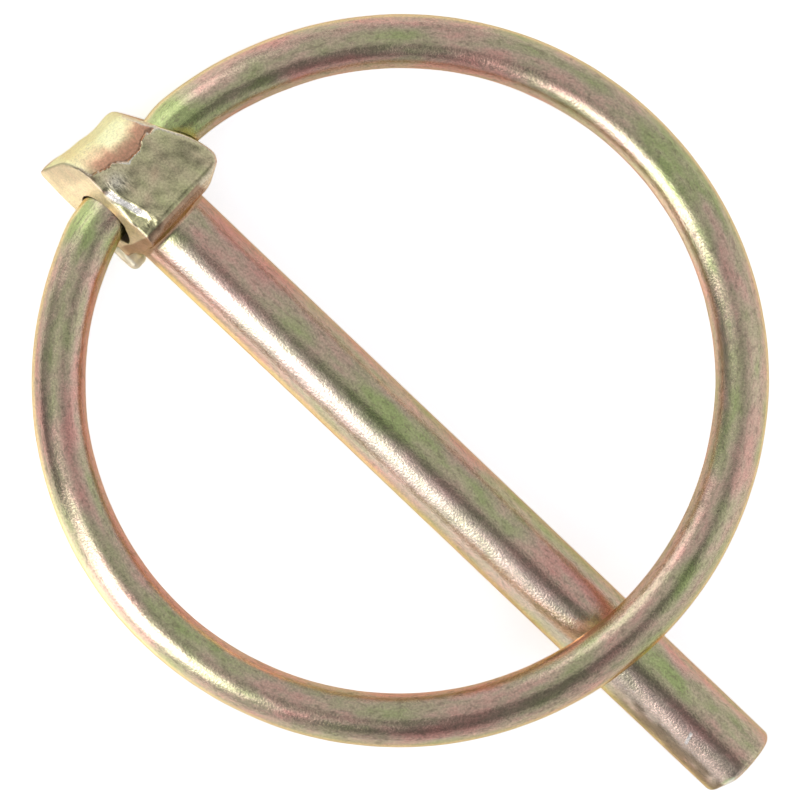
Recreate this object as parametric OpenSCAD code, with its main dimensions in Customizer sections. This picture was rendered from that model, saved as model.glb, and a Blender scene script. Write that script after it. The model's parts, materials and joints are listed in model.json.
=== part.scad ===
// Lynch pin: a round shank with a forged, cross-drilled head, and a snap ring of
// spring wire whose two ends sit in the head's hole and turn there.
// The shank runs along +X from the head to the tip. The origin is on the shank's axis,
// in the plane of the head's underside. +Z is the side on which the ring lies closed.

/* [Shank] */
// Diameter of the round shank
shank_d = 6.35; // [5.5:0.05:7]
// Diameter at the tip, drawn down a little past the ring
tip_d = 6.3; // [5.2:0.05:6.9]
// How far the shank stands out past the closed ring
tip_past_ring = 12.8; // [4:0.1:25]
// Broken edge round the tip's end face
tip_edge = 0.45; // [0.2:0.05:1]
// Height of the tip's domed end face
tip_crown = 0.3; // [0.1:0.05:0.6]
// Fillet where the shank leaves the head
neck_fillet = 0.45; // [0.2:0.05:0.5]

/* [Head] */
// Length of the head from its underside to its top
head_len = 9; // [8:0.1:12]
// Depth of the head between its flat front and back
head_depth = 8.8; // [7.6:0.1:12]
// Rounding of the top's front and back edges
top_round = 2.1; // [0.8:0.1:3]
// Distance from the shank's axis to the head's left side, at its back
head_left = 4.4; // [4:0.05:4.8]
// Distance from the shank's axis to the head's right side, at the underside
head_right = 6.05; // [5.7:0.05:6.3]
// Height above the underside at which the right side starts to lean in
right_shoulder = 3.1; // [2:0.1:4]
// Width that the right side has lost at the top
right_taper = 3; // [1.5:0.1:3.2]
// How far up the right side the underside's right corner is cut away
corner_cut_height = 1.2; // [0.4:0.1:1.4]
// How far across the underside the same corner is cut away
corner_cut_width = 2.1; // [0.5:0.1:2.3]
// Width that the left side has lost at the top
left_taper = 0.25; // [0:0.05:0.5]
// How far the left side leans in from the back to the front
left_lean = 2.2; // [0:0.1:2.4]
// Angle by which the head's top is sheared off square
top_skew = 5; // [0:0.5:8]
// Rounding of the head's corners, seen from the front
corner_round = 0.7; // [0.3:0.1:1.2]
// Bevel along the underside's front and back edges
under_bevel = 0.8; // [0.2:0.1:1.2]
// Thickness of the forging burr at the underside's left back corner
burr_d = 1.6; // [1:0.1:1.7]
// How far the burr stands down past the underside
burr_len = 1.3; // [0.4:0.1:1.5]

/* [Hole] */
// Height of the hole's axis above the head's underside
hole_height = 4.25; // [3.8:0.05:4.8]
// Sideways place of the hole's middle from the shank's axis
hole_side = 0.5; // [0:0.05:1]
// Angle by which the hole is drilled off square to the shank
hole_skew = 6.2; // [0:0.1:8]
// Gap all round between the wire's ends and the hole
hole_clearance = 0.15; // [0.05:0.01:0.3]

/* [Ring] */
// Inside diameter of the ring
ring_inner_d = 48; // [44:0.1:70]
// Diameter of the spring wire
wire_d = 4.2; // [3.4:0.05:4.6]
// Length of each straight end, from the middle of the hole to where the wire bends
end_len = 4.3; // [4:0.05:6]
// Radius of the wire's bend between a straight end and the ring, at the wire's middle
end_bend = 6; // [4:0.5:12]
// How much thinner in radius the ends are ground than the rest of the wire
end_relief = 0.05; // [0.04:0.01:0.1]
// Gap between the two ends of the wire inside the hole
end_gap = 1.6; // [0.5:0.1:3]
// Gap between the closed ring and the shank it lies over
rest_gap = 0.1; // [0.05:0.01:0.3]

/* [Hidden] */
$fn = 96;

pin_zinc = [0.66, 0.60, 0.45];
ring_zinc = [0.60, 0.56, 0.43];

shank_r = shank_d / 2;
tip_r = tip_d / 2;
wire_r = wire_d / 2;
end_r = wire_r - end_relief;
hole_r = end_r + hole_clearance;
ring_r = ring_inner_d / 2 + wire_r;

// In the ring's own plane the hinge line is the Y axis. Each end's bend leaves that line
// at end_len and meets the ring's arc from the inside.
ring_offset = end_bend + sqrt(pow(ring_r - end_bend, 2) - pow(end_len, 2));
bend_angle = asin(end_len / (ring_r - end_bend));
// The ring's arc reaches this far, in degrees, over each bend, which is thinner by the relief
lap_angle = 1;

// Where the closed ring crosses over the shank: along and to the side of the hole's middle
cross_side = hole_side + (ring_offset + ring_r) * sin(hole_skew);
cross_reach = ring_offset + sqrt(pow(ring_r, 2) - pow(cross_side, 2));
rest_angle = asin((shank_r + wire_r + rest_gap) / cross_reach);
cross_x = cross_reach * cos(rest_angle) * cos(hole_skew) + cross_side * sin(hole_skew) - hole_height;

// What the closed ring locks in is the length from the underside to the ring
usable_len = cross_x - wire_r;
shank_len = cross_x + wire_r + tip_past_ring;
crown_face_r = tip_r - tip_edge;
crown_r = (pow(crown_face_r, 2) + pow(tip_crown, 2)) / (2 * tip_crown);

// Longer or wider than any part of the head, for cutting shapes
over = 2 * (head_len + head_depth);

// Half of the shank's outline, with the radius along X and the length along Y
module shank_profile() {
    polygon([
        [0, -neck_fillet],
        [shank_r, -neck_fillet],
        [shank_r, usable_len],
        [tip_r, shank_len - tip_crown - tip_edge],
        [crown_face_r, shank_len - tip_crown],
        [0, shank_len - tip_crown],
    ]);
    intersection() {
        translate([0, shank_len - crown_r]) circle(crown_r, $fn = 180);
        translate([0, shank_len - tip_crown]) square([crown_face_r, tip_crown]);
    }
}

// The shank's root, which flares out to meet the underside
module neck_profile() {
    difference() {
        square([shank_r + neck_fillet, neck_fillet]);
        translate([shank_r + neck_fillet, neck_fillet]) circle(neck_fillet);
    }
}

// Turns a half outline about the shank's axis
module turned() {
    rotate([0, 90, 0]) rotate_extrude() children();
}

// The head seen from the front: a forging that narrows to the top on its right side, where
// the underside's corner is cut away
module head_outline() {
    offset(corner_round) offset(delta = -corner_round) polygon([
        [0, -head_left],
        [-over, -head_left],
        [-over, head_right - right_taper],
        [-head_len, head_right - right_taper],
        [-right_shoulder, head_right],
        [-corner_cut_height, head_right],
        [0, head_right - corner_cut_width],
    ]);
}

// The head's front, back and underside seen along the hole, with the bevelled edges
module under_view() {
    flat = head_depth / 2;
    polygon([
        [flat - under_bevel, 0],
        [-under_bevel, -flat],
        [-over, -flat],
        [-over, flat],
        [-under_bevel, flat],
    ]);
}

// The head's top seen along the hole, with its front and back edges rounded
module top_view() {
    flat = head_depth / 2;
    translate([top_round - head_len, -flat]) square([over, head_depth]);
    translate([-head_len, top_round - flat]) square([over, head_depth - 2 * top_round]);
    for (side = [-1, 1])
        translate([top_round - head_len, side * (flat - top_round)]) circle(top_round);
}

// Extrudes what is drawn as seen along the hole, with X along the shank, through the head
module across_head() {
    rotate([90, 0, 0]) linear_extrude(over, center = true) children();
}

// All that lies past the left side, which leans in towards the front and the top
module past_left_side() {
    translate([0, -head_left, -head_depth / 2])
        rotate([-atan(left_lean / head_depth), 0, -atan(left_taper / head_len)])
            translate([-over, -over, -over]) cube([2 * over, over, 3 * over]);
}

module head() {
    difference() {
        union() {
            intersection() {
                translate([0, 0, -head_depth / 2]) linear_extrude(head_depth) head_outline();
                across_head() under_view();
                rotate([0, 0, -top_skew]) across_head() top_view();
            }
            turned() neck_profile();
        }
        past_left_side();
    }
}

// A rounded burr that the forging left, flush with the head's back and left side
module burr() {
    burr_r = burr_d / 2;
    translate([burr_len - burr_r, burr_r - head_left, burr_r - head_depth / 2]) {
        sphere(burr_r, $fn = 48);
        rotate([0, -90, 0]) cylinder(h = burr_len + under_bevel, r = burr_r, $fn = 48);
    }
}

// Puts what is drawn about the hinge line, as the Y axis, in its place on the head
module at_hinge() {
    translate([-hole_height, hole_side, 0]) rotate([0, 0, hole_skew]) children();
}

// Round wire bent to the given radius, through an angle about Z from a starting angle
module bent_wire(section_r, bend_r, start, angle) {
    rotate_extrude(angle = angle, start = start, $fn = 180)
        translate([bend_r, 0]) circle(section_r, $fn = 48);
}

// One straight end of the wire and its bend, on the +Y side of the hole
module wire_end() {
    translate([0, end_gap / 2, 0]) rotate([-90, 0, 0])
        cylinder(h = end_len - end_gap / 2, r = end_r, $fn = 48);
    translate([end_bend, end_len, 0]) bent_wire(end_r, end_bend, 180, -bend_angle);
}

// One piece: the shank and its head are forged from the same bar
module pin() {
    color(pin_zinc) difference() {
        union() {
            turned() shank_profile();
            head();
            burr();
        }
        at_hinge() rotate([90, 0, 0]) cylinder(h = over, r = hole_r, center = true);
    }
}

// One piece of spring wire, lying closed over the shank
module ring() {
    color(ring_zinc) at_hinge() rotate([0, -rest_angle, 0]) {
        wire_end();
        mirror([0, 1, 0]) wire_end();
        translate([ring_offset, 0, 0])
            bent_wire(wire_r, ring_r, bend_angle - lap_angle - 180, 360 - 2 * (bend_angle - lap_angle));
    }
}

pin();
ring();
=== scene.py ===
"""A lynch pin lying with its snap ring closed over the shank, plated in yellow zinc."""
import json

import bpy
import numpy as np
from mathutils import Matrix, Vector


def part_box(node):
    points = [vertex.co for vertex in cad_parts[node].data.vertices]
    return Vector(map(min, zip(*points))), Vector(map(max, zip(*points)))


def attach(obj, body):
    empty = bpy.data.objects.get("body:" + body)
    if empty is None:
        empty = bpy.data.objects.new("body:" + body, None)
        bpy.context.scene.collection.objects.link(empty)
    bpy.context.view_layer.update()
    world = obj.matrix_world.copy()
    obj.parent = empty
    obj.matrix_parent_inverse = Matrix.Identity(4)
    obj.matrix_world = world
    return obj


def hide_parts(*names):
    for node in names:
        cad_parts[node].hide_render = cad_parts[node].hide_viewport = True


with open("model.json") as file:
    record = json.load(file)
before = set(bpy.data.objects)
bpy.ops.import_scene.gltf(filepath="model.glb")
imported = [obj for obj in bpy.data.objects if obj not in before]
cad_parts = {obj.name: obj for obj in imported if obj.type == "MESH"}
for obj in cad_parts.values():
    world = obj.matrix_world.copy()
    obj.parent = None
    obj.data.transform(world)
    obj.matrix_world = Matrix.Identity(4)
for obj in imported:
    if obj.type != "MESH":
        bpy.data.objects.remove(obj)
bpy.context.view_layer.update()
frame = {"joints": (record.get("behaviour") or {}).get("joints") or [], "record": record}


# ---------------------------------------------------------------- the pin
# One steel forging: a round shank with a square-sided head upset on its end. The head was
# sheared off at the top and cross-drilled for the ring. The die left a ragged skin on its
# front that ends in a torn line, and the whole is barrel plated with zinc.

# Sizes are millimetres: x along the shank to the tip, y across, z up out of the table
MM = 0.001
pin_low, pin_high = (np.array(corner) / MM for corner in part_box("pin"))
mount = frame["record"]["mounts"][0]["dims"]
SHANK_R = mount["r_mm"]
ROOT_X = 2.8                # where the head's mesh gives way to the shank's
USABLE_START = 0.45
USABLE_END = USABLE_START + mount["length_mm"]
TIP_X = pin_high[0]
TIP_R = SHANK_R - 0.025
TIP_EDGE = 0.55             # radius of the tip's broken edge
TIP_CROWN = 0.3             # how far the end bulges inside that edge
TIP_FACET = np.array([0.45, -0.55, 0.70])    # which way a small flat on the end faces
TIP_FACET_OUT = 2.4                          # and how far it lies from the end's middle
END_IN, END_CUT_BACK = 0.05, 0.3             # the end is set in all over, and more on the left
BAR_DRAW = 0.45             # dents of the rolled bar are drawn out along it by this

HEAD_LEN = 8.99
HEAD_BACK, HEAD_LEFT = pin_low[2], -4.4
HEAD_FRONT, HEAD_RIGHT = -HEAD_BACK, pin_high[1]
HEAD_MIDDLE = np.array([-4.3, 0.6, 0.0])
STUB_X = -2                 # where the shank starts inside the head
FRONT_IN, BACK_IN, RIGHT_IN = 0.1, 0.04, 0.02    # set in, which leaves room for the dents
LEFT_LEAN = 0.25            # how far the left side leans in for each millimetre of depth
LEFT_TAPER = 0.028          # and for each millimetre up the head
TOP_SKEW = np.radians(5)    # the top is sheared off square by this
SLANT_X, SLANT_RUN, SLANT_IN = -3.1, 5.9, 3.0       # the right side slants in towards the top
CORNER_X, CORNER_RUN, CORNER_IN = -1.2, 1.2, 2.1    # and is cut off at the underside's corner
BEVEL_RUN, BEVEL_RISE, BEVEL_DOWN = 0.9, 0.8, 0.88  # the underside's front edge is bevelled
BACK_BEVEL = 0.8                                    # and its back edge cut at 45 degrees
TOP_FRONT_R, TOP_BACK_R, TOP_BACK_LEFT_R = 2.1, 2.1, 0.7
BEVEL_R, UNDERSIDE_R, SLANT_R, CORNER_R, SIDE_R, ROOT_R = 0.3, 0.2, 0.7, 0.5, 0.3, 0.55

# The skin on the front ends in a torn line below the top: its height at each place across
TORN_Y = [-3.0, -1.93, -1.71, -0.84, -0.34, 0.33, 0.93, 1.84, 2.35, 2.69, 3.14, 4.15, 4.58, 6]
TORN_X = [-9.2, -8.23, -7.3, -6.94, -6.75, -6.6, -5.97,
          -5.91, -6.07, -6.13, -6.49, -6.26, -6.01, -5.6]
TORN_STEP = 0.17            # how far the sheared metal lies below the skin
# The sheared top is wavy: how far it stands above the square cut at each place across
WAVE_Y = [-4.2, -3.4, -2.6, -1.8, -1.0, -0.2, 0.2, 0.6, 1.2, 1.8, 2.2, 2.6, 3.0]
WAVE_UP = [-0.14, 0.02, 0.07, 0.0, -0.05, -0.07, -0.13, -0.18, -0.18, -0.11, -0.05, 0.0, -0.04]
# The front's left edge is hammered in: where that starts at each place along the head
CRUSHED_X = [-5.6, -4.6, -3.7, -2.4, -1.6, -1.0]
CRUSHED_Y = [-1.45, -1.25, -1.0, -0.72, -0.55, -0.5]
CRUSHED_IN, CRUSHED_LEAN = 0.36, 0.1


def ease(t):
    """The curve 3t^2 - 2t^3 from 0 to 1, flat outside."""
    t = np.clip(t, 0, 1)
    return t * t * (3 - 2 * t)


def rises(value, start, over):
    """0 up to the start, then up the curve of ease to 1 at the start plus over."""
    return ease((value - start) / over)


def falls(value, end, over):
    """1 up to the end less over, then down the curve of ease to 0 at the end."""
    return ease((end - value) / over)


def hill(value, middle, half, power=2):
    """The curve exp(-t^power), where t is the distance from the middle over the half width."""
    return np.exp(-((value - middle) / half) ** power)


def stripe(value, middle, half):
    """1 at the middle, down the curve of ease to 0 at the half width on both sides."""
    return ease(1 - np.abs(value - middle) / half)


def spot(x, y, at_x, at_y, spread):
    """A round patch: exp(-d^2 / spread), with d the distance from its middle."""
    return np.exp(-((x - at_x) ** 2 + (y - at_y) ** 2) / spread)


def grid(*parts):
    """Points from their coordinates, each a number or an array, spread over one grid."""
    return np.stack(np.broadcast_arrays(*parts), -1)


LATTICE = 16    # random values along each side of the block that lumps repeats


def lumps(points, size, seed):
    """Smooth noise from -1 to 1: random values at the corners of a cubic lattice of the given
    size, blended between the eight corners round each point by the curve 3t^2 - 2t^3."""
    table = np.random.default_rng(seed).uniform(-1, 1, (LATTICE,) * 3)
    where = np.asarray(points) / size
    cell = np.floor(where).astype(int)
    t = where - cell
    t = t * t * (3 - 2 * t)
    total = 0
    for corner in np.ndindex(2, 2, 2):
        weight = np.prod(np.where(corner, t, 1 - t), axis=-1)
        near = (cell + corner) % LATTICE
        total = total + weight * table[near[..., 0], near[..., 1], near[..., 2]]
    return total


def meet(a, b, radius):
    """Distance to the solid that two faces share, with an arc of the radius where they meet."""
    outside = np.hypot(np.maximum(a + radius, 0), np.maximum(b + radius, 0))
    return np.minimum(np.maximum(a + radius, b + radius), 0) + outside - radius


def join(a, b, radius):
    """Distance to two solids together, with a fillet of the radius in the corner between."""
    return -meet(-a, -b, radius)


def torn_line(p):
    """How far a point lies above the skin's torn end on the head's front, along the shank:
    the line through the given heights, made ragged by two sizes of lumps."""
    ragged = 0.16 * lumps(p * [1, 1, 0], 0.45, 5) + 0.1 * lumps(p * [1, 1, 0], 0.2, 6)
    return np.interp(p[..., 1], TORN_Y, TORN_X) + ragged - p[..., 0]


def left_side(x, z):
    """Where the head's leaning left side lies across: a plane over x and z."""
    return HEAD_LEFT + LEFT_LEAN * (z - HEAD_BACK) - LEFT_TAPER * x


def head_distance(p):
    """Distance in millimetres from the head's surface, negative inside. Each face is a plane's
    signed distance plus its dents, and the faces meet in arcs. The front has a crushed slope
    at its left edge, and the top lies a step below the skin's torn end."""
    x, y, z = p[..., 0], p[..., 1], p[..., 2]
    slope_start = np.interp(x, CRUSHED_X, CRUSHED_Y)
    sloped = rises(x, -6.0, 0.6) * (1 - 0.5 * rises(x, -2.6, 0.8))
    crushed = sloped * (CRUSHED_IN * falls(y, slope_start, 0.8)
                        + CRUSHED_LEAN * np.maximum(slope_start - y, 0))
    rough = spot(x, y, -1.8, -1.5, 0.7)
    dented = 0.05 * lumps(p, 2.3, 1) + 0.03 * lumps(p, 0.8, 2) + 0.05 * rough * lumps(p, 0.4, 3)
    front = z - HEAD_FRONT + FRONT_IN + crushed + dented
    back = HEAD_BACK + BACK_IN - z + 0.03 * lumps(p, 1.6, 4)
    left = (left_side(x, z) - y) / np.hypot(1, LEFT_LEAN) + 0.03 * (1 + lumps(p, 1.5, 7))
    right = y - HEAD_RIGHT + RIGHT_IN + 0.02 * lumps(p, 1.2, 8)
    torn_edge = 0.12 * lumps(p, 0.42, 9) * falls(x, -5.6, 1.5) * rises(z, 0.5, 1.5)
    slant = (SLANT_RUN * (y - HEAD_RIGHT) - SLANT_IN * (x - SLANT_X)) / np.hypot(
        SLANT_RUN, SLANT_IN) + torn_edge
    corner = (CORNER_IN * (x - CORNER_X) + CORNER_RUN * (y - HEAD_RIGHT)) / np.hypot(
        CORNER_RUN, CORNER_IN)
    across_top = x * np.cos(TOP_SKEW) - y * np.sin(TOP_SKEW)
    top = -across_top - HEAD_LEN - np.interp(y, WAVE_Y, WAVE_UP)
    bevel_front = (BEVEL_RISE * x + BEVEL_RUN * (z - HEAD_FRONT + BEVEL_DOWN)) / np.hypot(
        BEVEL_RISE, BEVEL_RUN)
    bevel_back = (x - z - HEAD_FRONT + BACK_BEVEL) / np.sqrt(2)
    top_back_r = TOP_BACK_LEFT_R + (TOP_BACK_R - TOP_BACK_LEFT_R) * rises(y, -3.8, 2.5)
    ends = meet(meet(top, front, TOP_FRONT_R), back, top_back_r)
    ends = ends + TORN_STEP * rises(torn_line(p), 0, 0.12) * rises(z, 1.6, 1.2)
    for face, radius in ((bevel_front, BEVEL_R), (bevel_back, BEVEL_R), (x, UNDERSIDE_R)):
        ends = meet(ends, face, radius)
    sides = meet(meet(right, slant, SLANT_R), corner, CORNER_R)
    left_r = 0.15 + 0.2 * hill(x, -3.9, 1.2) + 0.05 * lumps(p, 0.9, 10)
    return meet(meet(ends, sides, SIDE_R), left, left_r)


def pin_distance(p):
    """Distance from the head and the root of the shank, joined by a fillet."""
    shank = np.maximum(np.hypot(p[..., 1], p[..., 2]) - SHANK_R, STUB_X - p[..., 0])
    return join(head_distance(p), shank, ROOT_R)


def first_crossing(distance, start, direction, reach, steps):
    """Points where rays from the start first leave the solid: the distance is taken at even
    steps along each ray, and the first step that ends outside is halved 11 times."""
    low = np.zeros(direction.shape[:-1])
    high = np.full(direction.shape[:-1], float(reach))
    found = np.zeros(direction.shape[:-1], bool)
    for step in range(1, steps + 1):
        t = reach * step / steps
        out = distance(start + direction * t) > 0
        high[out & ~found] = t
        found |= out
        low[~found] = t
    for _ in range(11):
        t = (low + high) / 2
        out = distance(start + direction * t[..., None]) > 0
        high = np.where(out, t, high)
        low = np.where(out, low, t)
    return start + direction * high[..., None]


CROWDING = 0.3


def turns(around):
    """Angles about the shank's axis, closer together towards +Z, where the detail is: even
    angles, each moved by the crowding times its own cosine."""
    even = np.linspace(0, 2 * np.pi, around, endpoint=False)
    return even + CROWDING * np.cos(even)


HEAD_REACH, HEAD_STEPS = 12, 26


def head_rows(rows, around):
    """Rays fan from the head's middle: the first row points at the top, the last at a circle
    on the shank, and each ray's point is where it first leaves the pin."""
    turn = turns(around)
    last = grid(ROOT_X, SHANK_R * np.cos(turn), SHANK_R * np.sin(turn)) - HEAD_MIDDLE
    side = np.arctan2(last[:, 2], last[:, 1])
    widest = np.arccos(-last[:, 0] / np.linalg.norm(last, axis=1))
    angle = np.linspace(0, 1, rows)[1:, None] * widest
    direction = grid(-np.cos(angle), np.sin(angle) * np.cos(side), np.sin(angle) * np.sin(side))
    return first_crossing(pin_distance, HEAD_MIDDLE, direction, HEAD_REACH, HEAD_STEPS)


def shank_rows(rows, around):
    """Circles along the shank, a little uneven as rolled bar is. It narrows slightly past the
    ring and ends in a broken edge and a shallow dome. The end is cut back a little on the
    left, and points beyond the small flat are moved onto it."""
    turn = turns(around)
    straight = np.linspace(ROOT_X, TIP_X - TIP_EDGE - TIP_CROWN, rows)
    radius = np.interp(straight, [USABLE_END, TIP_X], [SHANK_R, TIP_R])
    bend = np.radians(np.linspace(0, 80, 8))[1:]
    edge_x = straight[-1] + TIP_EDGE * np.sin(bend)
    edge_r = radius[-1] - TIP_EDGE * (1 - np.cos(bend))
    dome_r = edge_r[-1] * np.linspace(1, 0, 7)[1:-1]
    dome_x = edge_x[-1] + (TIP_X - edge_x[-1]) * (1 - (dome_r / edge_r[-1]) ** 2)
    x = np.concatenate([straight, edge_x, dome_x])[:, None]
    r = np.concatenate([radius, edge_r, dome_r])[:, None]
    around_bar = grid(x * BAR_DRAW, 3 * np.cos(turn), 3 * np.sin(turn))
    uneven = 0.012 * (1 + lumps(around_bar, 2.6, 21)) + 0.006 * (1 + lumps(around_bar, 0.9, 22))
    r = r - uneven * rises(x, ROOT_X, 3) * (r > SHANK_R / 2)
    cut_back = END_IN + END_CUT_BACK * rises(-r * np.cos(turn), 1.0, 1.6)
    x = x - cut_back * rises(x, TIP_X - 5, 4)
    points = grid(x, r * np.cos(turn), r * np.sin(turn))
    beyond = np.maximum((points - [TIP_X, 0, 0]) @ TIP_FACET - TIP_FACET_OUT, 0)
    return points - beyond[..., None] * TIP_FACET


def bands(first, rows, around):
    """Quads between neighbouring rows of a closed grid whose first point has the index."""
    row, column = np.meshgrid(np.arange(rows - 1), np.arange(around), indexing="ij")
    here = first + row * around + column
    beside = first + row * around + (column + 1) % around
    return np.stack([here, beside, beside + around, here + around], -1).reshape(-1, 4)


def fan(centre, first, around, inward):
    """Triangles from one point to a closed row."""
    column = np.arange(around)
    here, beside = first + column, first + (column + 1) % around
    pair = (beside, here) if inward else (here, beside)
    return np.stack([np.full(around, centre), *pair], -1)


def halving(coarse_first, fine_first, around):
    """Triangles between a row of points and the next row, which has half as many."""
    column = np.arange(around // 2)
    fine = fine_first + 2 * column
    middle = fine + 1
    fine_next = fine_first + (2 * column + 2) % around
    coarse = coarse_first + column
    coarse_next = coarse_first + (column + 1) % (around // 2)
    return np.concatenate([
        np.stack([fine, middle, coarse], -1),
        np.stack([middle, coarse_next, coarse], -1),
        np.stack([middle, fine_next, coarse_next], -1),
    ])


def mesh_object(name, points, faces):
    """An object in the scene from an array of points in metres and a list of faces."""
    mesh = bpy.data.meshes.new(name)
    mesh.from_pydata(points.tolist(), [], faces)
    made = bpy.data.objects.new(name, mesh)
    bpy.context.collection.objects.link(made)
    return made


def smooth_piece(name, points, blocks):
    """A smooth shaded object from points in millimetres and arrays of faces."""
    made = mesh_object(name, points * MM, [face for block in blocks for face in block.tolist()])
    made.data.validate()
    made.data.shade_smooth()
    return made


HEAD_AROUND, HEAD_ROWS, SHANK_ROWS = 340, 224, 96
SHANK_AROUND = HEAD_AROUND // 2
head = head_rows(HEAD_ROWS, HEAD_AROUND)
shank = shank_rows(SHANK_ROWS, SHANK_AROUND)[1:]
top_point = first_crossing(
    pin_distance, HEAD_MIDDLE, np.array([[-1.0, 0, 0]]), HEAD_REACH, HEAD_STEPS)
end_point = [[TIP_X - 0.05, 0, 0]]
head_first = 1
shank_first = head_first + head.shape[0] * HEAD_AROUND
shank_last = shank_first + (shank.shape[0] - 1) * SHANK_AROUND
points = np.concatenate([top_point, head.reshape(-1, 3), shank.reshape(-1, 3), end_point])
pin = smooth_piece("pin_forging", points, [
    fan(0, head_first, HEAD_AROUND, True),
    bands(head_first, head.shape[0], HEAD_AROUND),
    halving(shank_first, shank_first - HEAD_AROUND, HEAD_AROUND),
    bands(shank_first, shank.shape[0], SHANK_AROUND),
    fan(shank_last + SHANK_AROUND, shank_last, SHANK_AROUND, False),
])

# The cross hole is drilled right through the finished head. Its left mouth is worn wider on
# the side towards the shank, and its right mouth a little all round.
hinge = frame["joints"][0]
hinge_place = Vector(hinge["pos_m"])
hinge_line = Vector(hinge["axis"])
HINGE_AT = np.array(hinge_place) / MM
HOLE_R = 2.2
LEFT_MOUTH_WORN, RIGHT_MOUTH_WORN = 0.27, 0.14
DRILL_REACH, DRILL_ROWS, DRILL_SIDES = 12, 49, 96
SHARP_ANGLE = 0.7    # radians: the hole's rim stays crisp


def drill_form(sides):
    """Points and faces of the drill, with Z along the hinge line and its left end upwards:
    circles whose radius and sideways place change towards its ends."""
    turn = np.linspace(0, 2 * np.pi, sides, endpoint=False)
    middle = np.linspace(-7, 5.2, DRILL_ROWS)
    z = np.concatenate([[-DRILL_REACH], middle, [DRILL_REACH]])[:, None]
    aside = LEFT_MOUTH_WORN * rises(z, 2.2, 2.0)
    radius = HOLE_R + aside + RIGHT_MOUTH_WORN * rises(-z, 3.4, 1.4)
    circles = grid(radius * np.cos(turn) + aside, radius * np.sin(turn), z)
    caps = [np.arange(sides)[::-1].tolist(), (np.arange(sides) + sides * (len(z) - 1)).tolist()]
    return circles.reshape(-1, 3) * MM, bands(0, len(z), sides).tolist() + caps


drill = mesh_object("drill", *drill_form(DRILL_SIDES))
drill_x = (Vector((1, 0, 0)) - hinge_line * hinge_line.x).normalized()
drill_turn = Matrix((drill_x, hinge_line.cross(drill_x), hinge_line)).transposed().to_4x4()
drill.data.transform(Matrix.Translation(hinge_place) @ drill_turn)
cut = pin.modifiers.new("cross hole", "BOOLEAN")
cut.object, cut.operation, cut.solver = drill, "DIFFERENCE", "EXACT"
bored = bpy.data.meshes.new_from_object(
    pin.evaluated_get(bpy.context.evaluated_depsgraph_get())
)
pin.modifiers.clear()
pin.data = bored
bpy.data.objects.remove(drill)
bored.shade_smooth()
bored.set_sharp_from_angle(angle=SHARP_ANGLE)


# Its finish: the zinc was dipped in yellow chromate. The thin film shifts between olive,
# green, tan and pink from patch to patch, over the steel's own grain.
def place(tree, kind, inputs=None, **settings):
    """Adds a node. An input that is given a socket is linked, any other value is set on it."""
    made = tree.nodes.new(kind)
    for name, value in settings.items():
        setattr(made, name, value)
    for name, value in (inputs or {}).items():
        if isinstance(value, bpy.types.NodeSocket):
            tree.links.new(value, made.inputs[name])
        else:
            made.inputs[name].default_value = value
    return made


def maths(tree, operation, *values, clamp=False):
    """The output of a Math node over the given sockets or numbers."""
    return place(tree, "ShaderNodeMath", dict(enumerate(values)), operation=operation,
                 use_clamp=clamp).outputs[0]


def remap(tree, value, low, high, to_low=0.0, to_high=1.0, smooth=False):
    """A value moved from one span to another, held at the ends."""
    return place(tree, "ShaderNodeMapRange", {
        "Value": value, "From Min": low, "From Max": high, "To Min": to_low, "To Max": to_high,
    }, interpolation_type="SMOOTHSTEP" if smooth else "LINEAR").outputs["Result"]


def blend_colours(tree, factor, a, b, mode="MIX"):
    """The output of a colour Mix node."""
    made = place(tree, "ShaderNodeMix", {0: factor, 6: a, 7: b}, data_type="RGBA", blend_type=mode)
    return made.outputs[2]


def noise(tree, vector, scale, detail=2.0, roughness=0.5, distortion=0.0):
    """Smooth noise, about 0 to 1, whose lumps are 1/scale across in the vector's units."""
    return place(tree, "ShaderNodeTexNoise", {
        "Vector": vector, "Scale": scale, "Detail": detail, "Roughness": roughness,
        "Distortion": distortion,
    }, noise_dimensions="3D").outputs["Fac"]


def stretched(tree, vector, x, y, z):
    """The vector, each part times its own factor."""
    made = place(tree, "ShaderNodeVectorMath", {0: vector, 1: (x, y, z)}, operation="MULTIPLY")
    return made.outputs["Vector"]


def ramp(tree, factor, stops):
    """The output of a Color Ramp with (position, colour) stops."""
    made = place(tree, "ShaderNodeValToRGB", {"Fac": factor})
    marks = made.color_ramp.elements
    while len(marks) < len(stops):
        marks.new(0.5)
    for mark, (position, colour) in zip(marks, stops):
        mark.position, mark.color = position, (*colour, 1)
    return made.outputs["Color"]


def new_group(name, inputs, outputs):
    """An empty node group with named sockets, its input node and its output node."""
    tree = bpy.data.node_groups.new(name, "ShaderNodeTree")
    for socket, kind, value in inputs:
        made = tree.interface.new_socket(socket, in_out="INPUT", socket_type=kind)
        if value is not None:
            made.default_value = value
    for socket, kind in outputs:
        tree.interface.new_socket(socket, in_out="OUTPUT", socket_type=kind)
    return tree, place(tree, "NodeGroupInput"), place(tree, "NodeGroupOutput")


FLOAT, COLOUR, VECTOR = "NodeSocketFloat", "NodeSocketColor", "NodeSocketVector"
# The film's colours from its thinnest places to its thickest
FILM_COLOURS = [
    (0.05, (0.43, 0.50, 0.21)), (0.25, (0.50, 0.49, 0.27)), (0.38, (0.54, 0.48, 0.30)),
    (0.50, (0.59, 0.47, 0.325)), (0.62, (0.64, 0.45, 0.335)), (0.74, (0.68, 0.42, 0.325)),
    (0.90, (0.68, 0.36, 0.29)),
]
FLECK_COLOUR = (0.22, 0.17, 0.12, 1)

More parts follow.
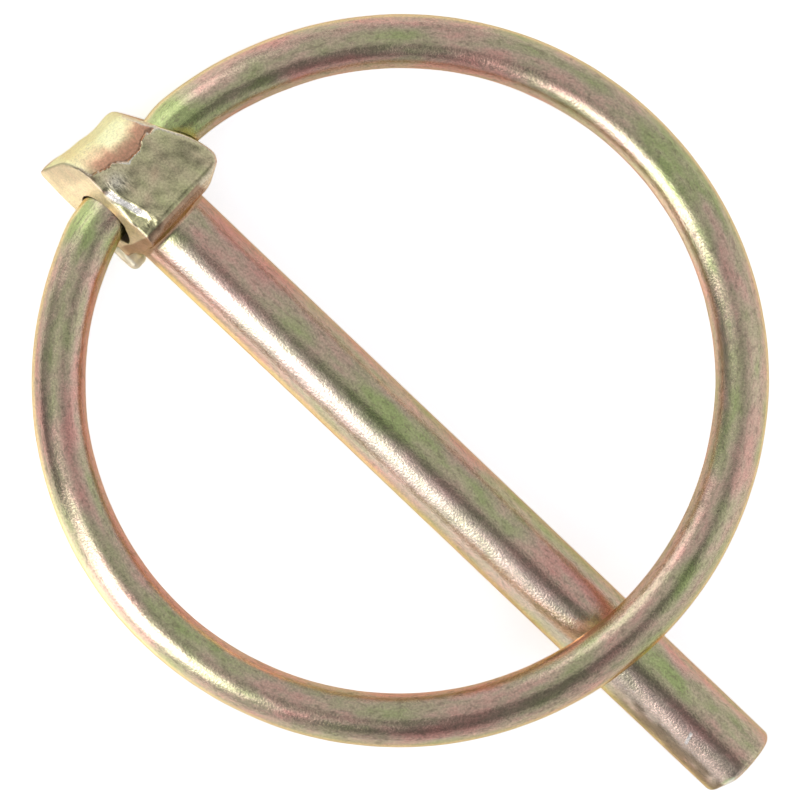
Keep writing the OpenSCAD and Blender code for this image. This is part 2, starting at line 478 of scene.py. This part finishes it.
# The chromate film. Place is in metres, with X along the bar or wire. Tone moves the patches
# from green through olive and tan to pink, and Fleck brings out dark specks.
film, given, gives = new_group(
    "chromate film",
    [("Place", VECTOR, None), ("Tone", FLOAT, 0.0), ("Fleck", FLOAT, 0.4)],
    [("Color", COLOUR), ("Grain", COLOUR), ("Roughness", FLOAT), ("Height", FLOAT)],
)
place_mm = stretched(film, given.outputs["Place"], 1 / MM, 1 / MM, 1 / MM)
patch = noise(film, stretched(film, place_mm, 0.28, 1, 1), scale=0.42, detail=1, distortion=0.2)
blotch = noise(film, stretched(film, place_mm, 0.42, 1, 1), scale=1.1, detail=3, roughness=0.6)
speck = noise(film, place_mm, scale=6.0, detail=3, roughness=0.6)
tone = maths(film, "ADD", maths(film, "MULTIPLY", patch, 1.1),
             maths(film, "MULTIPLY", blotch, 0.6))
tone = maths(film, "MULTIPLY", maths(film, "SUBTRACT", tone, 0.85), 1.35)
tone = maths(film, "ADD", maths(film, "ADD", tone, 0.5), given.outputs["Tone"])
hue = ramp(film, tone, FILM_COLOURS)
fleck = noise(film, stretched(film, place_mm, 0.5, 1, 1), scale=3.2, detail=2, roughness=0.6)
dark = maths(film, "MULTIPLY", remap(film, fleck, 0.54, 0.68, smooth=True),
             given.outputs["Fleck"])
hue = blend_colours(film, dark, hue, FLECK_COLOUR)
shade = maths(film, "ADD", remap(film, speck, 0.3, 0.7, 0.80, 1.20),
              remap(film, blotch, 0.3, 0.7, -0.07, 0.07))
grain = place(film, "ShaderNodeCombineColor", {"Red": shade, "Green": shade, "Blue": shade})
hue = blend_colours(film, 1.0, hue, grain.outputs["Color"], "MULTIPLY")
film.links.new(hue, gives.inputs["Color"])
film.links.new(grain.outputs["Color"], gives.inputs["Grain"])
film.links.new(maths(film, "ADD", remap(film, blotch, 0.3, 0.7, 0.17, 0.25),
                     maths(film, "MULTIPLY", dark, 0.12)), gives.inputs["Roughness"])
film.links.new(maths(film, "ADD", maths(film, "MULTIPLY", blotch, 0.5),
                     maths(film, "MULTIPLY", speck, 0.3)), gives.inputs["Height"])

EDGE_TINT = (1.0, 0.81, 0.55, 1)    # the gloss at a glancing angle keeps the zinc's yellow
GRAIN_DEPTH = 0.00006               # of the film's Height, in metres


def plated(name):
    """A metal material with the film's group placed in it: its tree, film and shader."""
    material = bpy.data.materials.new(name)
    material.use_nodes = True
    tree = material.node_tree
    tree.nodes.clear()
    coat = place(tree, "ShaderNodeGroup", node_tree=film)
    metal = place(tree, "ShaderNodeBsdfPrincipled", {"Metallic": 1.0, "Specular Tint": EDGE_TINT})
    place(tree, "ShaderNodeOutputMaterial", {"Surface": metal.outputs[0]})
    return material, tree, coat, metal


def add_bump(tree, metal, height, depth):
    """Tilts the metal's normals by the height, whose 1 stands the depth in metres."""
    bump = place(tree, "ShaderNodeBump", {"Height": height, "Strength": 1.0, "Distance": depth})
    tree.links.new(bump.outputs["Normal"], metal.inputs["Normal"])


def add_mask(mesh, name, values):
    """A number for each vertex of the mesh, which its material reads by the name."""
    layer = mesh.attributes.new(name, "FLOAT", "POINT")
    layer.data.foreach_set("value", values.astype(np.float32))


def read_mask(tree, name):
    """The number that add_mask wrote, as a socket."""
    return place(tree, "ShaderNodeAttribute", attribute_name=name).outputs["Fac"]


def vertex_vectors(mesh, what):
    """The mesh's own vector at each vertex: co is its place in metres, normal its facing."""
    values = np.empty(len(mesh.vertices) * 3)
    mesh.vertices.foreach_get(what, values)
    return values.reshape(-1, 3)


# Parts of the forging that look different, each from 0 to 1
places = vertex_vectors(bored, "co") / MM
x, y, z = places.T
_, facing_right, facing_front = vertex_vectors(bored, "normal").T
above = torn_line(places)
on_head = falls(x, 0.2, 0.6)
upward = rises(z, -3.5, 1.5) * on_head
sheared = rises(above, 0, 0.1) * upward
front = rises(facing_front, 0.8, 0.15) * on_head * (1 - sheared)
leftward = rises(-facing_right, 0.55, 0.3) * on_head
from_hinge = np.linalg.norm(np.cross(places - HINGE_AT, np.array(hinge_line)), axis=1)
# the cross hole's walls, which are painted near black as shade
shaded_bore = rises(-pin_distance(places), 0.01, 0.08) * falls(from_hinge, 3.5, 1)
slope_start = np.interp(x, CRUSHED_X, CRUSHED_Y)
seam_at = left_side(x, z) + 0.12
past_facet = (places - [TIP_X, 0, 0]) @ TIP_FACET
# A mauve band crosses the front of the head on a slant
BAND_X, BAND_Y, BAND_RUN, BAND_SLANT = -3.4, 0.8, 1.65, 0.92
from_band = ((x - BAND_X) * BAND_RUN + (y - BAND_Y) * BAND_SLANT) / np.hypot(BAND_RUN, BAND_SLANT)
mauve_band = hill(from_band, 0, 0.4) * falls(np.abs(y - BAND_Y), 2.4, 1.5) * on_head
# The film's long green and red patches on the shank's front: where each lies along and
# across, its half length and half width, and how far it shifts the film's tone. The long one
# at -3.0 across yellows the whole left rim, part of the painted reflection down that rim
PATCHES = [
    (33, 1.0, 8, 0.8, -0.38), (6, 1.0, 6, 0.8, 0.12), (30, 2.0, 4, 0.6, -0.12),
    (24, 1.0, 9, 0.9, -0.30), (9, 1.9, 5, 0.9, 0.36), (41, 1.9, 5, 0.9, 0.25),
    (53, 1.2, 4, 0.9, -0.2), (4, 1.0, 3, 0.8, 0.15), (28, -3.0, 40, 0.8, -0.22),
]
patches = sum(shift * hill(x, along, long) * hill(y, side, wide)
              for along, side, long, wide, shift in PATCHES) * ease(z)


# Stains, wear, bare edges and painted light (highlights, a glint, rim reflections, lit sides and
# shade), laid over the film in this order: where each lies, how much of the film it hides, and
# its colour
stains_and_painted_light = {
    # the head's front, and the shank's front, sides and end: a painted highlight down the shank's
    # top and on its tip, and a painted reflection down each of its rims
    "face": (front, 0.6, (0.86, 0.79, 0.45)),
    # a pale pink band along the shank's top, where the lamp's highlight falls: painted highlight
    "rosy_highlight": (hill(y, -1.5, 1.1, 4) * ease(z) * rises(x, 0.5, 2), 0.5, (0.80, 0.64, 0.56)),
    # a gold band down the shank's left rim, strongest near the head: painted reflection of the lit
    # table at a glancing angle
    "golden_rim_reflection": (
        rises(-y, 2.75, 0.35) * rises(x, 1, 1) * (0.6 + 0.4 * hill(x, 5, 5)),
        0.85, (1.0, 0.80, 0.33)),
    # a buff band down the shank's right rim: painted reflection at a glancing angle
    "buff_rim_reflection": (rises(y, 2.95, 0.3) * rises(x, 1, 2), 0.85, (1.0, 0.80, 0.60)),
    # a pale pink patch on the tip where its highlight falls: painted highlight
    "tip_highlight_blush": (hill(y, -1.6, 0.5) * rises(x, 50, 3) * ease(z), 0.8, (1.0, 0.77, 0.62)),
    # the head's sheared top, pale cream-green, greener away from the torn line and redder next to
    # it: partly the film's own tint, partly a painted reflection of the cloth in the curved top
    "sheared": (sheared, 1.0, (0.93, 1.00, 0.62)),
    "tan": (
        sheared * falls(above, 3.6, 2.4) * rises(y, -3.2, 1.8), 0.6, (0.86, 0.70, 0.36)),
    "ruddy": (
        sheared * falls(above, 2.2, 1.6) * rises(y, -2.2, 1.6), 0.85, (0.70, 0.34, 0.22)),
    # painted shadow in the step under the skin's torn end and in a small notch beside it, and a
    # bright lip over the step: a painted highlight along the skin's edge and on the head's right
    # top edge, where the zinc is also chipped white
    "step": (
        stripe(above, 0.13, 0.13) * upward * rises(z, 1.6, 1.2)
        + hill(x, -7.2, 0.5) * hill(y, -1.9, 0.3) * upward,
        0.85, (0.20, 0.13, 0.08)),
    # a painted highlight along the skin's edge over the step, broken into patches, and on the
    # head's right top edge, where the zinc is also chipped
    "lip_highlight": (np.maximum(
        stripe(above, -0.05, 0.11) * upward * ease(3 * lumps(places * [1, 1, 0], 0.9, 41)),
        rises(facing_right, 0.3, 0.3) * rises(z, 2, 1) * falls(x, -3.5, 1.5) * upward),
        0.9, (0.98, 0.95, 0.80)),
    # painted light on the head's sides, lighter where they face the bright cloth, and a painted
    # highlight along its front's hammered edge, over zinc worn bright there
    "pale_lit_sides": (np.maximum.reduce([
        leftward,
        rises(facing_right, 0.4, 0.3) * rises(z, 0.5, 1.0) * on_head,
        rises(y, 3.2, 0.5) * rises(x, -1.1, 0.2) * upward]),
        0.85, (0.88, 0.76, 0.52)),
    # a painted highlight on the crescent of the front's hammered edge, over zinc worn bright
    "worn": (
        falls(y, slope_start - 0.1, 0.2) * rises(y, slope_start - 0.75, 0.2)
        * rises(x, -5.8, 0.5) * (1 - rises(x, -2.7, 0.6)) * upward,
        0.9, (1.0, 0.97, 0.88)),
    # a brown band darkening the corner between head and shank, and a dark line along the left
    # side's top edge
    "root": (
        rises(x, -1.03, 0.16) * (1 - rises(x, 0.28 + 0.02 * y ** 2, 0.14))
        * rises(z, -3.2, 1.5) * (1 - rises(y, 3.2, 0.5)),
        0.95, (0.46, 0.30, 0.19)),
    "seam": (
        stripe(y, seam_at, 0.17) * falls(x, -7.0, 0.8) * rises(z, -3.5, 1.0),
        0.7, (0.25, 0.20, 0.14)),
    "brushed": (spot(x, y, -5.6, -0.8, 0.6) * front, 0.5, (0.80, 0.78, 0.68)),
    # the hole's walls painted near black: painted shade inside the cross hole
    "shaded_bore": (shaded_bore, 1.0, (0.06, 0.05, 0.04)),
    # dark specks, the small flat, and a painted glint on the broken edge at the shank's tip
    "stained": (
        rises(x, 49, 3) * rises(-y, 1.9, 0.4) * (1 - rises(-y, 2.9, 0.3))
        * ease(0.8 + lumps(places, 0.8, 52)),
        0.9, (0.24, 0.18, 0.115)),
    "facet": (
        rises(past_facet, TIP_FACET_OUT - 0.12, 0.1) * rises(x, 58, 1),
        0.85, (0.70, 0.78, 0.42)),
    # a painted glint on the tip's broken edge
    "chamfer_glint": (
        rises(x, TIP_X - 0.9, 0.3) * rises(-y, 1.0, 0.6) * ease(z + 0.5),
        0.85, (1.0, 0.98, 0.88)),
}
for name, (values, _, _) in stains_and_painted_light.items():
    add_mask(bored, name, values)
# The last term tints the shank's sides pinker: a painted sheen, the film's tint at a glancing angle
add_mask(bored, "tone_shift", -0.24 * front + 0.36 * mauve_band + patches
         + 0.1 * rises(np.abs(y), 2.2, 0.6) * rises(x, 1, 2))
add_mask(bored, "flecked", 0.4 - 0.36 * front + 0.5 * rises(x, 49, 3) * rises(-y, 1.2, 0.8))
add_mask(bored, "dulled", 0.2 * sheared + 0.4 * shaded_bore + 0.3 * leftward)
add_mask(bored, "grainy", 1 - 0.7 * front)
add_mask(bored, "rough", spot(x, y, -5.7, -0.8, 0.8) + 0.6 * spot(x, y, -1.8, -1.4, 0.7))

pin_finish, tree, coat, metal = plated("plated forging")
here = place(tree, "ShaderNodeTexCoord").outputs["Object"]
tree.links.new(here, coat.inputs["Place"])
tree.links.new(read_mask(tree, "tone_shift"), coat.inputs["Tone"])
tree.links.new(read_mask(tree, "flecked"), coat.inputs["Fleck"])
colour = coat.outputs["Color"]
for name, (_, share, overlay_colour) in stains_and_painted_light.items():
    grained = blend_colours(tree, 1.0, coat.outputs["Grain"], (*overlay_colour, 1), "MULTIPLY")
    colour = blend_colours(
        tree, maths(tree, "MULTIPLY", read_mask(tree, name), share), colour, grained)

# A short bright scratch across the shank near its tip: how far it lies along, how much it
# slants, and how far it lies across
SCRATCH_X, SCRATCH_SLANT, SCRATCH_Y = 55.9, 0.35, -1.4
here_mm = place(tree, "ShaderNodeSeparateXYZ", {0: stretched(tree, here, 1 / MM, 1 / MM, 1 / MM)})
slanted = maths(tree, "MULTIPLY_ADD", here_mm.outputs["Y"], SCRATCH_SLANT, here_mm.outputs["X"])
off_line = maths(tree, "ABSOLUTE", maths(tree, "SUBTRACT", slanted, SCRATCH_X))
off_middle = maths(tree, "ABSOLUTE", maths(tree, "SUBTRACT", here_mm.outputs["Y"], SCRATCH_Y))
scratch = maths(tree, "MULTIPLY", remap(tree, off_line, 0.19, 0.08, smooth=True),
                remap(tree, off_middle, 0.55, 0.35, smooth=True))
scratch = maths(tree, "MULTIPLY", scratch,
                maths(tree, "GREATER_THAN", here_mm.outputs["Z"], 0.0))
colour = blend_colours(tree, scratch, colour, (1.0, 0.92, 0.82, 1))
tree.links.new(colour, metal.inputs["Base Color"])
tree.links.new(maths(tree, "ADD", coat.outputs["Roughness"], read_mask(tree, "dulled")),
               metal.inputs["Roughness"])

# The crushed patches glitter: short drawn streaks, far deeper than the film's own grain
STREAK_DEPTH = 2.4
streaks = noise(tree, stretched(tree, here, 900, 2600, 2600), scale=1.0, roughness=0.55,
                distortion=0.3)
streaks = maths(tree, "MULTIPLY", streaks, read_mask(tree, "rough"))
height = maths(tree, "MULTIPLY", coat.outputs["Height"], read_mask(tree, "grainy"))
height = maths(tree, "ADD", height, maths(tree, "MULTIPLY", streaks, STREAK_DEPTH))
add_bump(tree, metal, height, GRAIN_DEPTH)
bored.materials.clear()
bored.materials.append(pin_finish)
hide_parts("pin")
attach(pin, "pin_body")


# ---------------------------------------------------------------- the burr
# A lump of flash left standing at the left back corner of the head's underside. It is the
# forging's own steel, squeezed out between the dies, and its zinc is worn and dull.
BURR_MIDDLE = np.array([-0.1, -3.7, -3.7])
BURR_HALF = np.array([1.45, 0.85, 0.68])
BURR_EDGE = 0.62
BURR_REACH, BURR_STEPS = 2, 20
BURR_AROUND, BURR_ROWS = 72, 48
BURR_COLOUR, BURR_SHARE = (1.0, 0.96, 0.72, 1), 0.85
BURR_DULLED = 0.2
BURR_GRAIN_DEPTH = 0.00008


def burr_distance(p):
    """Distance to a block with round, lumpy edges."""
    away = np.maximum(np.abs(p - BURR_MIDDLE) - (BURR_HALF - BURR_EDGE), 0)
    return np.linalg.norm(away, axis=-1) - BURR_EDGE + 0.05 * (1 + lumps(p, 0.7, 11))


angle = np.linspace(0, np.pi, BURR_ROWS + 2)[1:-1, None]
turn = np.linspace(0, 2 * np.pi, BURR_AROUND, endpoint=False)
direction = grid(np.cos(angle), np.sin(angle) * np.cos(turn), np.sin(angle) * np.sin(turn))
poles = np.array([[1.0, 0, 0], [-1.0, 0, 0]])
points = np.concatenate([
    first_crossing(burr_distance, BURR_MIDDLE, way, BURR_REACH, BURR_STEPS).reshape(-1, 3)
    for way in (direction, poles)
])
last = BURR_ROWS * BURR_AROUND
burr = smooth_piece("forging_burr", points, [
    bands(0, BURR_ROWS, BURR_AROUND)[:, ::-1],
    fan(last, 0, BURR_AROUND, False),
    fan(last + 1, last - BURR_AROUND, BURR_AROUND, True),
])

burr_finish, tree, coat, metal = plated("worn zinc of the burr")
tree.links.new(place(tree, "ShaderNodeTexCoord").outputs["Object"], coat.inputs["Place"])
tree.links.new(blend_colours(tree, BURR_SHARE, coat.outputs["Color"], BURR_COLOUR),
               metal.inputs["Base Color"])
tree.links.new(maths(tree, "ADD", coat.outputs["Roughness"], BURR_DULLED),
               metal.inputs["Roughness"])
add_bump(tree, metal, coat.outputs["Height"], BURR_GRAIN_DEPTH)
burr.data.materials.append(burr_finish)
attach(burr, "pin_body")


# ---------------------------------------------------------------- the snap ring
# One length of drawn spring wire, coiled round, with both ends turned in to run in the head's
# cross hole. It lies closed over the shank, and has the same plating as the pin.
WIRE_R = 2.1
RING_R = 26.1
END_LEN, END_BEND, END_GAP = 4.3, 6.0, 1.6
END_R = WIRE_R - 0.05
END_EDGE = 0.4                               # radius of the broken edge at each end
OVAL, OVAL_TURN = 0.11, np.radians(47.4)     # the ring is sprung a little out of round
RING_IN = 0.035                              # and wound a little under its full size
REST_GAP = 0.1
WIRE_STEP = 0.146
RING_AROUND = 80
ring_centre = END_BEND + np.sqrt((RING_R - END_BEND) ** 2 - END_LEN ** 2)
bend_turn = np.arcsin(END_LEN / (RING_R - END_BEND))
skew = np.arcsin(hinge_line.x)
cross_side = HINGE_AT[1] + (ring_centre + RING_R) * np.sin(skew)
cross_reach = ring_centre + np.sqrt(RING_R ** 2 - cross_side ** 2)
rest_turn = np.arcsin((SHANK_R + WIRE_R + REST_GAP) / cross_reach)


def wire_path(step):
    """Points along the wire's middle in the ring's own plane, with the hinge line as Y: from
    the middle of the hole out of one side, round, and back in at the other."""
    straight = np.arange(END_GAP / 2, END_LEN, step)
    bend = np.arange(0, bend_turn, step / END_BEND)
    arc = np.arange(np.pi - bend_turn, -np.pi + bend_turn, -step / RING_R)
    inwards = RING_IN - OVAL * np.cos(2 * (arc - OVAL_TURN))
    radius = RING_R - inwards * falls(np.abs(arc), np.pi - bend_turn, 0.35)
    near = np.concatenate([
        np.stack([straight * 0, straight], -1),
        np.stack([END_BEND * (1 - np.cos(bend)), END_LEN + END_BEND * np.sin(bend)], -1),
    ])
    far = near[::-1] * [1, -1]
    round_part = np.stack([ring_centre + radius * np.cos(arc), radius * np.sin(arc)], -1)
    return np.concatenate([near, round_part, far])


def wire_surface(path, around):
    """Circles of points square to the path, each turned about it, and every point's straight
    place: its length along the wire and its place in the section. The surface is a little
    uneven along the draw, always inwards, and the ends are ground thinner."""
    along = np.gradient(path, axis=0)
    along /= np.linalg.norm(along, axis=1)[:, None]
    length = np.concatenate([[0], np.cumsum(np.linalg.norm(np.diff(path, axis=0), axis=1))])
    turn = np.linspace(0, 2 * np.pi, around, endpoint=False)
    section = grid(length[:, None], WIRE_R * np.cos(turn), WIRE_R * np.sin(turn))
    uneven = (0.022 * (1 + lumps(section * [0.45, 1, 1], 2.2, 31))
              + 0.010 * (1 + lumps(section * [0.6, 1, 1], 0.9, 32)))
    from_end = np.minimum(length, length[-1] - length)[:, None]
    thinner = (WIRE_R - END_R) * (1 - rises(from_end, 3.4, 1.4))
    rounded = END_EDGE * (1 - np.sqrt(1 - (1 - np.clip(from_end / END_EDGE, 0, 1)) ** 2))
    radius = WIRE_R - uneven * rises(from_end, 4, 4) - thinner - rounded
    out = np.stack([along[:, 1], -along[:, 0]], -1)     # away from the ring's middle
    flat = path[:, None, :] + out[:, None, :] * (radius * np.cos(turn))[..., None]
    return np.concatenate([flat, (radius * np.sin(turn))[..., None]], -1), section


def turned(a, b, angle):
    """Two coordinates turned by the angle in their own plane."""
    return a * np.cos(angle) - b * np.sin(angle), a * np.sin(angle) + b * np.cos(angle)


def at_hinge(points):
    """From the ring's own plane to its place at rest on the head: lifted about the hinge
    line, turned by the hole's skew, and moved to the hinge."""
    x, y, z = np.moveaxis(points, -1, 0)
    x, z = turned(x, z, rest_turn)
    x, y = turned(x, y, skew)
    return np.stack([x, y, z], -1) + HINGE_AT


surface, section = wire_surface(wire_path(WIRE_STEP), RING_AROUND)
rows = surface.shape[0]
end_points = surface[[0, -1]].mean(axis=1)
points = at_hinge(np.concatenate([surface.reshape(-1, 3), end_points]))
ring = smooth_piece("snap_ring_wire", points, [
    bands(0, rows, RING_AROUND)[:, ::-1],
    fan(rows * RING_AROUND, 0, RING_AROUND, False),
    fan(rows * RING_AROUND + 1, (rows - 1) * RING_AROUND, RING_AROUND, True),
])

# The film follows the wire: each point's place as if the wire were straight
straight_place = np.concatenate([section.reshape(-1, 3), [[0, 0, 0], [section[-1, 0, 0], 0, 0]]])
layer = ring.data.attributes.new("straight_place", "FLOAT_VECTOR", "POINT")
layer.data.foreach_set("vector", (straight_place * MM).astype(np.float32).ravel())
length = straight_place[:, 0]
from_end = np.minimum(length, length.max() - length)
outwards = -straight_place[:, 1] / WIRE_R
ring_middle = points[:-2, :2].mean(axis=0)
round_ring = np.degrees(np.arctan2(*(points[:, :2] - ring_middle).T[::-1]))
# The film's patches on the ring: degrees round it, place across the wire from -1 inside to 1
# outside, half length in degrees, half width, and shift of tone
RING_PATCHES = [
    (86, -0.1, 12, 0.45, -0.22), (66, 0.1, 7, 0.8, -0.16), (142, 0.0, 16, 1.2, -0.32),
    (234, 0.0, 8, 1.2, -0.22), (24, 0.0, 9, 1.2, -0.19), (45, 0.5, 6, 0.8, 0.15),
    (114, 0.0, 7, 1.2, 0.10), (266, -0.4, 9, 0.5, -0.10), (268, -0.85, 25, 0.2, 0.40),
]
ring_patches = sum(
    shift * hill((round_ring - at + 180) % 360 - 180, 0, long) * hill(outwards, side, wide)
    for at, side, long, wide, shift in RING_PATCHES)
# The two terms on outwards tint the wire's inner rim pinker and its outer rim yellower: painted
# sheen at a glancing angle
add_mask(ring.data, "tone_shift",
         ring_patches * ease(straight_place[:, 2] + 0.5)
         + 0.12 * rises(-outwards, 0.6, 0.3) - 0.06 * rises(outwards, 0.6, 0.3)
         - 0.55 * hill(from_end, 4.4, 2.3) + 0.2 * hill(from_end, 19, 7))
# a gold band on the wire's outer rim: painted reflection at a glancing angle
add_mask(ring.data, "golden_rim_reflection", rises(outwards, 0.86, 0.08))
RIM_COLOUR, RIM_SHARE = (0.95, 0.80, 0.46, 1), 0.75

ring_finish, tree, coat, metal = plated("plated spring wire")
place_along = place(tree, "ShaderNodeAttribute", attribute_name="straight_place")
tree.links.new(place_along.outputs["Vector"], coat.inputs["Place"])
tree.links.new(read_mask(tree, "tone_shift"), coat.inputs["Tone"])
grained = blend_colours(tree, 1.0, coat.outputs["Grain"], RIM_COLOUR, "MULTIPLY")
rim = maths(tree, "MULTIPLY", read_mask(tree, "golden_rim_reflection"), RIM_SHARE)
tree.links.new(blend_colours(tree, rim, coat.outputs["Color"], grained),
               metal.inputs["Base Color"])
tree.links.new(coat.outputs["Roughness"], metal.inputs["Roughness"])
add_bump(tree, metal, coat.outputs["Height"], GRAIN_DEPTH)
ring.data.materials.append(ring_finish)
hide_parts("ring")
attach(ring, "ring_body")


# ---------------------------------------------------------------- the floor and the light
# A white table, with a tent of thin cloth over it, lit from outside: bright low down to the
# left of the pin, darker overhead where the camera looks in.
FLOOR_SPAN = 3.0
TABLE_GREY = (0.5, 0.5, 0.5, 1)
TABLE_GLOSS = 0.42
TABLE_GLOW, TABLE_SEEN_GLOW = 0.17, 0.4
table = mesh_object("table", FLOOR_SPAN * np.array(
    [[-1, -1, 0], [1, -1, 0], [1, 1, 0], [-1, 1, 0]]), [(0, 1, 2, 3)])
table.location.z = pin_low[2] * MM
table_white = bpy.data.materials.new("white table")
table_white.use_nodes = True
tree = table_white.node_tree
tree.nodes.clear()
matt = place(tree, "ShaderNodeBsdfDiffuse", {"Color": TABLE_GREY})
sheen = place(tree, "ShaderNodeBsdfAnisotropic", {"Color": TABLE_GREY, "Roughness": TABLE_GLOSS})
seen = place(tree, "ShaderNodeLightPath").outputs
seen_white = maths(tree, "ADD", seen["Is Camera Ray"], seen["Is Glossy Ray"], clamp=True)
seen_white = maths(tree, "ADD", seen_white, seen["Is Transmission Ray"], clamp=True)
strength = maths(tree, "ADD", maths(tree, "MULTIPLY", seen_white, TABLE_GLOW),
                 maths(tree, "MULTIPLY", seen["Is Camera Ray"], TABLE_SEEN_GLOW))
glow = place(tree, "ShaderNodeEmission", {"Color": (1, 1, 1, 1), "Strength": strength})
mixed = place(tree, "ShaderNodeAddShader", {0: matt.outputs[0], 1: sheen.outputs[0]})
mixed = place(tree, "ShaderNodeAddShader", {0: mixed.outputs[0], 1: glow.outputs[0]})
place(tree, "ShaderNodeOutputMaterial", {"Surface": mixed.outputs[0]})
table.data.materials.append(table_white)

TENT_R = 0.22
TENT_ROWS, TENT_AROUND = 24, 64
TENT_X = 0.028               # the tent stands over the middle of the part
TENT_COLOUR = (0.98, 0.98, 1.05, 1)
TENT_LIGHT = 0.62            # of the cloth away from the lamps
IMAGE_TURN = 43.557          # degrees from the line of the shank to the image's right
# The lamps behind the cloth, by their place over the image: degrees anticlockwise from its
# right, degrees down from overhead, degrees out to full light and to none, and strength
LAMPS = [
    (219, 48, 7, 17, 3.7),      # the main lamp, tall and soft
    (219, 61, 7, 16, 2.4),
    (212, 76, 6, 15, 1.8),
    (221, 34, 6, 27, 0.55),
    (221, 74, 7, 19, 0.35),
    (350, 62, 10, 36, 0.30),
    (136, 68, 12, 24, 1.0),
    (268, 30, 16, 36, -0.42),   # the unlit side
    (270, 62, 8, 24, -0.12),
    (329, 9, 4, 13, -0.20),     # the opening overhead
    (178, 68, 8, 28, -0.26),
    (196, 86, 8, 24, -0.34),
]


def dome(rows, around, radius):
    """Points and faces of a half ball, open below: circles from the rim up, and the top."""
    up = np.linspace(0, np.pi / 2, rows, endpoint=False)[:, None]
    turn = np.linspace(0, 2 * np.pi, around, endpoint=False)
    circles = radius * grid(np.cos(up) * np.cos(turn), np.cos(up) * np.sin(turn), np.sin(up))
    points = np.concatenate([circles.reshape(-1, 3), [[0, 0, radius]]])
    top = len(points) - 1
    faces = bands(0, rows, around)[:, ::-1].tolist() + fan(top, top - around, around, True).tolist()
    return points, faces


tent = mesh_object("tent", *dome(TENT_ROWS, TENT_AROUND, TENT_R))
tent.data.shade_smooth()
tent.visible_camera = False
tent.visible_shadow = False
tent.location.x = TENT_X
cloth = bpy.data.materials.new("tent cloth")
cloth.use_nodes = True
tree = cloth.node_tree
tree.nodes.clear()
here = place(tree, "ShaderNodeTexCoord").outputs["Object"]
way = place(tree, "ShaderNodeVectorMath", {0: here}, operation="NORMALIZE").outputs["Vector"]


def lit_from(azimuth, zenith, inner, outer, strength):
    """One lamp's light on the cloth: full within the inner angle of its direction, none past
    the outer one, and smooth in the cosine of the angle between."""
    turn, drop = np.radians(azimuth + IMAGE_TURN), np.radians(zenith)
    aim = (np.sin(drop) * np.cos(turn), np.sin(drop) * np.sin(turn), np.cos(drop))
    near = place(tree, "ShaderNodeVectorMath", {0: way, 1: aim}, operation="DOT_PRODUCT")
    return remap(tree, near.outputs["Value"], np.cos(np.radians(outer)),
                 np.cos(np.radians(inner)), 0, strength, smooth=True)


light = TENT_LIGHT
for lamp in LAMPS:
    light = maths(tree, "ADD", light, lit_from(*lamp))
glow = place(tree, "ShaderNodeEmission", {"Color": TENT_COLOUR, "Strength": light})
place(tree, "ShaderNodeOutputMaterial", {"Surface": glow.outputs[0]})
tent.data.materials.append(cloth)

world = bpy.data.worlds.new("white studio")
world.use_nodes = True
world.node_tree.nodes["Background"].inputs["Color"].default_value = (1, 1, 1, 1)
bpy.context.scene.world = world


# ---------------------------------------------------------------- the camera
# It looks down on the part, a little from the head's end, with the shank from the upper left
# to the lower right. The image is 800 x 800.
IMAGE_PX = 800
SCALE_PX = 13.09 / MM            # pixels to a metre at the part
ORIGIN_PX = (168.92, 221.01)     # where the shank's start shows, from the upper left
CAMERA_FAR = 1.5
SENSOR = 36
towards = Vector((-0.1564, -0.0349, 0.9871)).normalized()
roll = np.radians(IMAGE_TURN)
along = (Vector((1, 0, 0)) - towards * towards.x).normalized()
across = towards.cross(along)
right = along * np.cos(roll) + across * np.sin(roll)
up = across * np.cos(roll) - along * np.sin(roll)
aim = (right * (IMAGE_PX / 2 - ORIGIN_PX[0]) - up * (IMAGE_PX / 2 - ORIGIN_PX[1])) / SCALE_PX
camera_data = bpy.data.cameras.new("camera")
camera_data.sensor_width = SENSOR
camera_data.lens = SENSOR * CAMERA_FAR * SCALE_PX / IMAGE_PX
camera = bpy.data.objects.new("camera", camera_data)
bpy.context.collection.objects.link(camera)
camera.matrix_world = Matrix.Translation(aim + towards * CAMERA_FAR) @ Matrix(
    (right, up, towards)
).transposed().to_4x4()
bpy.context.scene.camera = camera
bpy.context.scene.view_settings.view_transform = "Standard"
